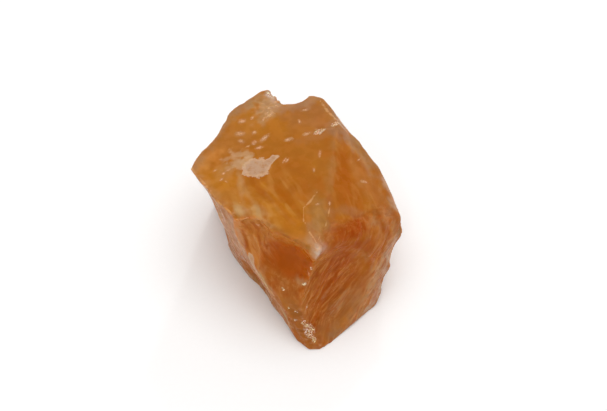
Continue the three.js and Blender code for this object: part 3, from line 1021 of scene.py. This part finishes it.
# %% Cleavage lines
cleavage = along((0.55, 0.35, 0.76), 1.0, in_mm)
wave = node("TexWave", {"Vector": cleavage, "Scale": 0.06, "Distortion": 3.0, "Detail": 2.0,
                        "Detail Scale": 0.3}, wave_type="BANDS", bands_direction="Z")
cleavage = times(ramp(wave.outputs["Fac"], 0.955, 0.995), ramp(grains(4.0, 2.0), 0.46, 0.6))
cleavage = times(cleavage, painted("hidden_wall"))

# %% Tint and fibres
tint_in = node("Attribute", attribute_name="tint").outputs["Color"]
mottling = ramp(mottle, 0.3, 0.7, 0.94, 1.06)
body = node("VectorMath", {0: tint_in, "Scale": mottling}, operation="SCALE").outputs[0]

for fibre, zone, pale, dark, amount in (
        (strands, "right_fibre", mixed(176, 110, 52), BRICK, 0.5),
        (fibres_right, "right_fibre", mixed(188, 124, 64), RUST, 0.65),
        (fibres_left, "left_fibre", mixed(188, 142, 100), SIENNA, 0.4),
        (rib_fibres, "hollow_fibre", mixed(190, 130, 72), RUST, 0.55),
        (streaks, "upper_streak", mixed(190, 134, 66), EMBER, 0.38)):
    light_part = times(painted(zone), ramp(fibre, 0.5, 0.66))
    dark_part = times(painted(zone), ramp(fibre, 0.5, 0.34))
    body = blend(times(light_part, amount), body, pale)
    body = blend(times(dark_part, amount), body, dark)

# %% Veil and bruise
veil_noise = grains(1.5, 4.0, 0.6)
ragged = plus(times(veil_noise, 1.2), painted("veil"))
veil_cut = ramp(ragged, 0.60, 0.74)
veil_thread = grains(1.1, 5.0, 0.7)
veil_in = times(veil_cut, ramp(veil_thread, 0.34, 0.56, 0.5, 0.92))
body = blend(veil_in, body, mixed(180, 148, 122))
veil_rim = times(veil_cut, ramp(ragged, 1.0, 0.74))
body = blend(times(veil_rim, 0.45), body, mixed(208, 170, 134))

bruise_in = times(painted("bruise"), ramp(grains(0.9, 3.0, 0.6), 0.25, 0.65, 0.45, 1.0))
body = blend(bruise_in, body, mixed(198, 176, 156))

# %% Chips: a wide soft halo, and a bright ragged core that is partly a painted highlight
chip_halo = plus(times(grains(0.9, 4.0, 0.75), 3.4), painted("chip_and_glint"))
chip_halo = ramp(chip_halo, 1.85, 2.4)
body = blend(times(chip_halo, 0.4), body, mixed(208, 156, 106))
chip_glint_core = plus(times(grains(0.4, 4.0, 0.8), 4.8), painted("chip_and_glint"))
chip_glint_core = ramp(chip_glint_core, 3.0, 3.35)
# the bright core: partly the bruise's own pale colour, partly a painted highlight
body = blend(times(chip_glint_core, 0.58), body, mixed(232, 192, 154))

# %% Frost with painted edge sheen, seams with painted highlights, and cleavage lines
frost_and_sheen_cut = times(painted("frost_and_edge_sheen"), ramp(grains(0.8, 4.0, 0.65), 0.38, 0.62, 0.1, 1.0))
# pale frost on the edges, partly a painted sheen
body = blend(times(frost_and_sheen_cut, 0.5), body, mixed(190, 152, 116))

seam_break = ramp(grains(2.6, 4.0, 0.65), 0.4, 0.62, -0.45, 0.1)
seam_highlight_cut = ramp(plus(painted("seam_and_edge_highlight"), seam_break), 0.1, 0.7)
# bright seam lines, partly painted highlights along the edges
body = blend(times(seam_highlight_cut, 0.42), body, mixed(222, 176, 122))

body = blend(times(cleavage, 0.18), body, mixed(214, 168, 118))

# %% Painted glints: thin bright highlight curls where the noise crosses its middle value
painted_glint_curls = grains(1.0, 1.0, 0.5, in_mm, 2.2)
painted_glint_curls = ramp(maths("ABSOLUTE", maths("SUBTRACT", painted_glint_curls, 0.52)), 0.045, 0.015)
painted_glint_zone = ramp(plus(painted("painted_glint"), grains(0.9, 2.0, 0.5)), 0.45, 0.75)
painted_glint_curls = times(painted_glint_curls, painted_glint_zone)
# the curls are painted highlights in the base colour; the coat over them is glossier
body = blend(painted_glint_curls, body, mixed(255, 242, 212))

# %% Gloss and fine relief
rough = plus(ramp(mottle, 0.3, 0.7, 0.2, 0.34), times(veil_cut, 0.2))
rough = maths("ADD", rough, times(frost_and_sheen_cut, 0.12), clamp=True)

gloss = times(painted_glint_zone, 0.35)
gloss = maths("MAXIMUM", gloss, times(painted("frost_and_edge_sheen"), 0.2))
gloss = maths("MAXIMUM", gloss, times(chip_glint_core, 0.15))

height = times(speckle, 0.04)
for fibre, zone in ((fibres_right, "right_fibre"), (fibres_left, "left_fibre")):
    torn = times(times(fibre, painted(zone)), 0.6)
    height = plus(height, torn)
height = plus(height, times(grains(3.0, 3.0), 0.4))
height = plus(height, times(chip_glint_core, -0.3))
bump = node("Bump", {"Height": height, "Strength": 1.0, "Distance": 0.22 * MM})

# %% The shader
shader = node("BsdfPrincipled", {
    "Base Color": body, "Roughness": rough, "Normal": bump.outputs["Normal"],
    "IOR": 1.5, "Specular IOR Level": 0.04,
    "Coat Weight": gloss, "Coat Roughness": 0.12,
    "Subsurface Weight": 0.9, "Subsurface Scale": 0.7 * MM,
    "Subsurface Radius": (1.0, 0.6, 0.3),
})
node("OutputMaterial", {"Surface": shader.outputs[0]})
skin.materials.clear()
skin.materials.append(stuff)
skin.shade_smooth()
print("stone nodes:", len(tree.nodes))

# %% Tell the frame what the lump stands for
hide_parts("calcite")
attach(stone, "root")

# %% [markdown]
# ## Floor, light and camera
# A small mineral is best shown on a plain pale sheet, under one large soft lamp, with the
# sheet throwing light back into the walls. Two small lamps wake up the chips.

# %% Floor
SHEET_HALF_SIZE = 3.0
sheet_mesh = bpy.data.meshes.new("floor")
sheet = bmesh.new()
bmesh.ops.create_grid(sheet, x_segments=1, y_segments=1, size=SHEET_HALF_SIZE)
sheet.to_mesh(sheet_mesh)
sheet.free()
floor = put("floor", sheet_mesh)

# %% Pale paper for the floor
floor_stuff = bpy.data.materials.new("pale_sheet")
tree = blank_tree(floor_stuff)
paper = node("TexNoise", {"Vector": node("TexCoord").outputs["Object"], "Scale": 900.0})
paper_tone = node("MapRange", {"Value": paper.outputs["Fac"], "To Min": 0.86, "To Max": 0.88})
paper_bump = node("Bump", {"Height": paper.outputs["Fac"], "Strength": 0.1, "Distance": 0.1 * MM})
paper_shader = node("BsdfPrincipled", {
    "Base Color": node("CombineColor", {0: paper_tone.outputs[0], 1: paper_tone.outputs[0],
                                        2: paper_tone.outputs[0]}).outputs[0],
    "Roughness": 0.9, "Normal": paper_bump.outputs["Normal"], "Specular IOR Level": 0.1,
})
node("OutputMaterial", {"Surface": paper_shader.outputs[0]})
sheet_mesh.materials.append(floor_stuff)
print("floor nodes:", len(tree.nodes))


# %% Light
def lamp(name, kind, place, power):
    """A lamp at a place in metres that looks at the stone."""
    light = bpy.data.lights.new(name, kind)
    light.energy = power
    holder = put(name, light)
    holder.location = place
    aim = Vector((0.0, 0.0, 0.02)) - Vector(place)
    holder.rotation_euler = aim.to_track_quat("-Z", "Y").to_euler()
    return light


lamp("soft overhead", "SUN", (0.05, -0.05, 0.85), 2.0).angle = math.radians(60.0)
lamp("back spark", "AREA", (0.15, 0.55, 0.5), 0.5).size = 0.05
lamp("front spark", "AREA", (-0.1, -0.5, 0.55), 0.35).size = 0.05

# %% Sky: brighter near the horizon, so the walls are lit from the side too
world = bpy.data.worlds.new("studio")
bpy.context.scene.world = world
tree = blank_tree(world)
ray = node("TexCoord").outputs["Generated"]
up = node("SeparateXYZ", {0: ray}).outputs["Z"]
sky = ramp(up, 0.05, 0.7, 1.0, 0.4)
glow = node("Background", {"Strength": sky, "Color": (1.0, 0.99, 0.98, 1.0)})
node("OutputWorld", {"Surface": glow.outputs[0]})

# %% Camera
TILT = math.radians(50.0)
STAND_OFF = 295.0 * MM
LENS_MM = 70.0
RISE = 3.9 * MM
middle = Vector((1.6 * MM, -4.95 * MM, 19.5 * MM))
back = Vector((0.0, -math.cos(TILT), math.sin(TILT)))
upward = Vector((0.0, math.sin(TILT), math.cos(TILT)))
look_at = middle + RISE * upward
lens = bpy.data.cameras.new("camera")
lens.lens = LENS_MM
camera = put("camera", lens)
camera.location = look_at + back * STAND_OFF
camera.rotation_euler = (-back).to_track_quat("-Z", "Y").to_euler()
bpy.context.scene.camera = camera
bpy.context.scene.view_settings.view_transform = "Standard"
print("camera at", np.round(camera.location, 3), "with a lens of", LENS_MM, "mm")
